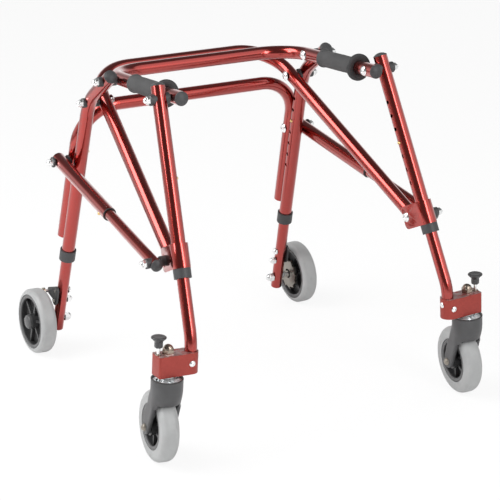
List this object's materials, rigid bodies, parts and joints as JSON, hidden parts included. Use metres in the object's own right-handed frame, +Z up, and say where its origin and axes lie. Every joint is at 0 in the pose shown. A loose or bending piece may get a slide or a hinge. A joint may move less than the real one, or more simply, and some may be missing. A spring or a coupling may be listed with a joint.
{
  "type": "posterior walker",
  "caption": "Folding posterior walker: red tube frame open at the front, hand grips, telescoping legs, swivelling front casters and one-way rear wheels.",
  "frame": {"origin": "on the floor, in the plane of symmetry, midway between front and back", "axes": "+Z up, -Y toward the open front that the user walks out of, +X to the user's left"},
  "size_m": [0.6925, 0.6929, 0.6266],
  "materials": {
    "red_tube": "glossy metallic red lacquer on aluminium tube",
    "red_block": "satin red anodised aluminium",
    "tyre": "smooth light grey rubber",
    "grey_plastic": "dark grey moulded plastic",
    "foam_grip": "ribbed black rubber",
    "black_plastic": "matt black plastic",
    "brass": "plain brass",
    "steel": "bright zinc-plated steel"
  },
  "bodies": {
    "rear_frame": {"rear_legs": "red_tube", "back_bar": "red_tube", "rear_leg_fittings": "black_plastic", "pivot_spacers": "black_plastic", "pivot_bolts": "steel"},
    "handle": {"handle_bar": "red_tube", "hand_grips": "foam_grip", "handle_plugs": "black_plastic", "handle_bolts": "steel"},
    "diagonal": {"diagonal_bar": "red_tube"},
    "front_legs": {"front_legs": "red_tube", "front_brackets": "red_tube", "front_leg_fittings": "black_plastic", "front_bolts": "steel"},
    "stay_outer_left": {"stay_outer_left": "red_tube", "stay_bush_left": "black_plastic"},
    "stay_inner_left": {"stay_inner_left": "red_tube", "stay_plug_left": "black_plastic", "stay_bolt_left": "steel"},
    "front_lower_left": {"front_leg_lower_left": "red_tube", "caster_block_left": "red_block", "block_fasteners_left": "steel"},
    "front_button_left": {"front_button_left": "brass"},
    "lock_left": {"lock_knob_left": "black_plastic", "lock_pin_left": "steel"},
    "fork_left": {"caster_fork_left": "grey_plastic", "fork_hardware_left": "steel"},
    "caster_wheel_left": {"caster_tyre_left": "tyre", "caster_hub_left": "grey_plastic"},
    "rear_lower_left": {"rear_leg_lower_left": "red_tube", "pawl_bracket_left": "black_plastic", "rear_axle_left": "steel"},
    "rear_button_left": {"rear_button_left": "brass"},
    "rear_wheel_left": {"rear_tyre_left": "tyre", "rear_hub_left": "grey_plastic"},
    "pawl_left": {"pawl_left": "black_plastic"},
    "stay_button_left": {"stay_button_left": "brass"},
    "stay_outer_right": {"stay_outer_right": "red_tube", "stay_bush_right": "black_plastic"},
    "stay_inner_right": {"stay_inner_right": "red_tube", "stay_plug_right": "black_plastic", "stay_bolt_right": "steel"},
    "front_lower_right": {"front_leg_lower_right": "red_tube", "caster_block_right": "red_block", "block_fasteners_right": "steel"},
    "front_button_right": {"front_button_right": "brass"},
    "lock_right": {"lock_knob_right": "black_plastic", "lock_pin_right": "steel"},
    "fork_right": {"caster_fork_right": "grey_plastic", "fork_hardware_right": "steel"},
    "caster_wheel_right": {"caster_tyre_right": "tyre", "caster_hub_right": "grey_plastic"},
    "rear_lower_right": {"rear_leg_lower_right": "red_tube", "pawl_bracket_right": "black_plastic", "rear_axle_right": "steel"},
    "rear_button_right": {"rear_button_right": "brass"},
    "rear_wheel_right": {"rear_tyre_right": "tyre", "rear_hub_right": "grey_plastic"},
    "pawl_right": {"pawl_right": "black_plastic"},
    "stay_button_right": {"stay_button_right": "brass"}
  },
  "joints": [
    {"name": "fold", "type": "hinge", "parent": "rear_frame", "child": "diagonal", "pos_m": [0, 0.14566, 0.52768], "axis": [1, 0, 0], "range_deg": [0, 35]},
    {"name": "handle_turn", "type": "hinge", "parent": "rear_frame", "child": "handle", "pos_m": [0, 0.07593, 0.58279], "axis": [1, 0, 0], "range_deg": [0, 50]},
    {"name": "front_leg_turn", "type": "hinge", "parent": "diagonal", "child": "front_legs", "pos_m": [0, -0.21915, 0.33582], "axis": [1, 0, 0], "range_deg": [-12, 0]},
    {"name": "front_height_left", "type": "slide", "parent": "front_legs", "child": "front_lower_left", "axis": [-0.0819, 0.4212, 0.9033], "range_m": [-0.0762, 0.0762]},
    {"name": "front_button_press_left", "type": "slide", "parent": "front_lower_left", "child": "front_button_left", "axis": [0.9966, 0.0346, 0.0743], "range_m": [0, 0.0035], "stiffness_N_per_m": 2000},
    {"name": "caster_swivel_left", "type": "hinge", "parent": "front_lower_left", "child": "fork_left", "pos_m": [0.30871, -0.314, 0.15235], "axis": [-0.0523, 0, 0.9986], "continuous": true},
    {"name": "caster_spin_left", "type": "hinge", "parent": "fork_left", "child": "caster_wheel_left", "pos_m": [0.31589, -0.28511, 0.06369], "axis": [0.9948, -0.0872, 0.0521], "continuous": true},
    {"name": "swivel_lock_left", "type": "slide", "parent": "front_lower_left", "child": "lock_left", "axis": [0.0523, 0, -0.9986], "range_m": [0, 0.0055]},
    {"name": "rear_height_left", "type": "slide", "parent": "rear_frame", "child": "rear_lower_left", "axis": [-0.0384, -0.267, 0.9629], "range_m": [-0.1016, 0.0508]},
    {"name": "rear_button_press_left", "type": "slide", "parent": "rear_lower_left", "child": "rear_button_left", "axis": [0.9993, -0.0103, 0.037], "range_m": [0, 0.0035], "stiffness_N_per_m": 2000},
    {"name": "rear_spin_left", "type": "hinge", "parent": "rear_lower_left", "child": "rear_wheel_left", "pos_m": [0.29397, 0.28053, 0.06372], "axis": [0.9993, -0.0103, 0.037], "continuous": true},
    {"name": "pawl_lift_left", "type": "hinge", "parent": "rear_lower_left", "child": "pawl_left", "pos_m": [0.27364, 0.29392, 0.11647], "axis": [0.9993, -0.0103, 0.037], "range_deg": [0, 45], "stiffness_Nm_per_rad": 0.02},
    {"name": "stay_turn_left", "type": "hinge", "parent": "rear_frame", "child": "stay_outer_left", "pos_m": [0.26315, 0.21365, 0.40167], "axis": [0.9998, -0.0029, 0.0192], "range_deg": [0, 36]},
    {"name": "stay_slide_left", "type": "slide", "parent": "stay_outer_left", "child": "stay_inner_left", "axis": [-0.045, 0.9876, 0.1502], "range_m": [0, 0.09]},
    {"name": "stay_button_press_left", "type": "slide", "parent": "stay_outer_left", "child": "stay_button_left", "axis": [-0.7653, -0.1308, 0.6303], "range_m": [0, 0.0035], "stiffness_N_per_m": 2000},
    {"name": "front_height_right", "type": "slide", "parent": "front_legs", "child": "front_lower_right", "axis": [0.0819, 0.4212, 0.9033], "range_m": [-0.0762, 0.0762]},
    {"name": "front_button_press_right", "type": "slide", "parent": "front_lower_right", "child": "front_button_right", "axis": [-0.9966, 0.0346, 0.0743], "range_m": [0, 0.0035], "stiffness_N_per_m": 2000},
    {"name": "caster_swivel_right", "type": "hinge", "parent": "front_lower_right", "child": "fork_right", "pos_m": [-0.30871, -0.314, 0.15235], "axis": [0.0523, 0, 0.9986], "continuous": true},
    {"name": "caster_spin_right", "type": "hinge", "parent": "fork_right", "child": "caster_wheel_right", "pos_m": [-0.31083, -0.28511, 0.06369], "axis": [0.9948, -0.0872, -0.0521], "continuous": true},
    {"name": "swivel_lock_right", "type": "slide", "parent": "front_lower_right", "child": "lock_right", "axis": [-0.0523, 0, -0.9986], "range_m": [0, 0.0055]},
    {"name": "rear_height_right", "type": "slide", "parent": "rear_frame", "child": "rear_lower_right", "axis": [0.0384, -0.267, 0.9629], "range_m": [-0.1016, 0.0508]},
    {"name": "rear_button_press_right", "type": "slide", "parent": "rear_lower_right", "child": "rear_button_right", "axis": [-0.9993, -0.0103, 0.037], "range_m": [0, 0.0035], "stiffness_N_per_m": 2000},
    {"name": "rear_spin_right", "type": "hinge", "parent": "rear_lower_right", "child": "rear_wheel_right", "pos_m": [-0.29397, 0.28053, 0.06372], "axis": [0.9993, 0.0103, -0.037], "continuous": true},
    {"name": "pawl_lift_right", "type": "hinge", "parent": "rear_lower_right", "child": "pawl_right", "pos_m": [-0.27364, 0.29392, 0.11647], "axis": [0.9993, 0.0103, -0.037], "range_deg": [0, 45], "stiffness_Nm_per_rad": 0.02},
    {"name": "stay_turn_right", "type": "hinge", "parent": "rear_frame", "child": "stay_outer_right", "pos_m": [-0.26315, 0.21365, 0.40167], "axis": [0.9998, 0.0029, -0.0192], "range_deg": [0, 36]},
    {"name": "stay_slide_right", "type": "slide", "parent": "stay_outer_right", "child": "stay_inner_right", "axis": [0.045, 0.9876, 0.1502], "range_m": [0, 0.09]},
    {"name": "stay_button_press_right", "type": "slide", "parent": "stay_outer_right", "child": "stay_button_right", "axis": [0.7653, -0.1308, 0.6303], "range_m": [0, 0.0035], "stiffness_N_per_m": 2000}
  ],
  "couplings": [
    {"joint": "handle_turn", "follows": "fold", "ratio": 1.3742},
    {"joint": "front_leg_turn", "follows": "fold", "ratio": -0.29767},
    {"joint": "stay_turn_left", "follows": "fold", "ratio": 0.98451},
    {"joint": "stay_turn_right", "follows": "fold", "ratio": 0.98451},
    {"joint": "stay_slide_left", "follows": "fold", "m_per_rad": 0.14067},
    {"joint": "stay_slide_right", "follows": "fold", "m_per_rad": 0.14067}
  ]
}
